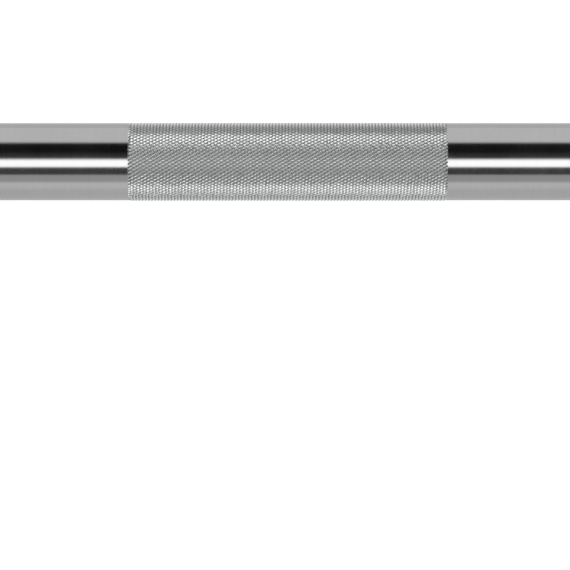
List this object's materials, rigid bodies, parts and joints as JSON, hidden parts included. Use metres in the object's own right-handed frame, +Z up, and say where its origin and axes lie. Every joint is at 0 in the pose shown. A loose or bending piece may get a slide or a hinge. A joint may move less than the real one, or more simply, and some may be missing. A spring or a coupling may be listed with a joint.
{
  "type": "barbell",
  "caption": "Full-size barbell: a knurled steel shaft with a centre knurl and ring marks, and collared sleeves for plates that turn on bronze bushings at its ends.",
  "frame": {"origin": "the middle of the shaft, on the bar's axis", "axes": "+X along the bar towards the right-hand sleeve, +Z up; the bar is round, so +Y is only square to the two"},
  "size_m": [2.2, 0.079, 0.079],
  "materials": {
    "shaft_steel": "satin",
    "sleeve_chrome": "polished",
    "collar_chrome": "polished",
    "bushing_bronze": "satin",
    "washer_steel": "satin",
    "spring_steel": "satin",
    "seal_rubber": "matte",
    "cap_steel": "satin"
  },
  "bodies": {
    "bar": {"shaft": "shaft_steel", "right_inner_washer": "washer_steel", "right_outer_washer": "washer_steel", "right_lock_ring": "spring_steel", "right_backup_ring": "spring_steel", "left_inner_washer": "washer_steel", "left_outer_washer": "washer_steel", "left_lock_ring": "spring_steel", "left_backup_ring": "spring_steel"},
    "right_sleeve": {"right_sleeve_tube": "sleeve_chrome", "right_collar": "collar_chrome", "right_shaft_seal": "seal_rubber", "right_inner_bushing": "bushing_bronze", "right_outer_bushing": "bushing_bronze", "right_end_cap": "cap_steel", "right_cap_o_ring": "seal_rubber", "right_cap_ring": "spring_steel"},
    "left_sleeve": {"left_sleeve_tube": "sleeve_chrome", "left_collar": "collar_chrome", "left_shaft_seal": "seal_rubber", "left_inner_bushing": "bushing_bronze", "left_outer_bushing": "bushing_bronze", "left_end_cap": "cap_steel", "left_cap_o_ring": "seal_rubber", "left_cap_ring": "spring_steel"}
  },
  "joints": [
    {"name": "right_sleeve_spin", "type": "hinge", "parent": "bar", "child": "right_sleeve", "pos_m": [0.8775, 0, 0], "axis": [1, 0, 0], "continuous": true},
    {"name": "left_sleeve_spin", "type": "hinge", "parent": "bar", "child": "left_sleeve", "pos_m": [-0.8775, 0, 0], "axis": [1, 0, 0], "continuous": true}
  ]
}
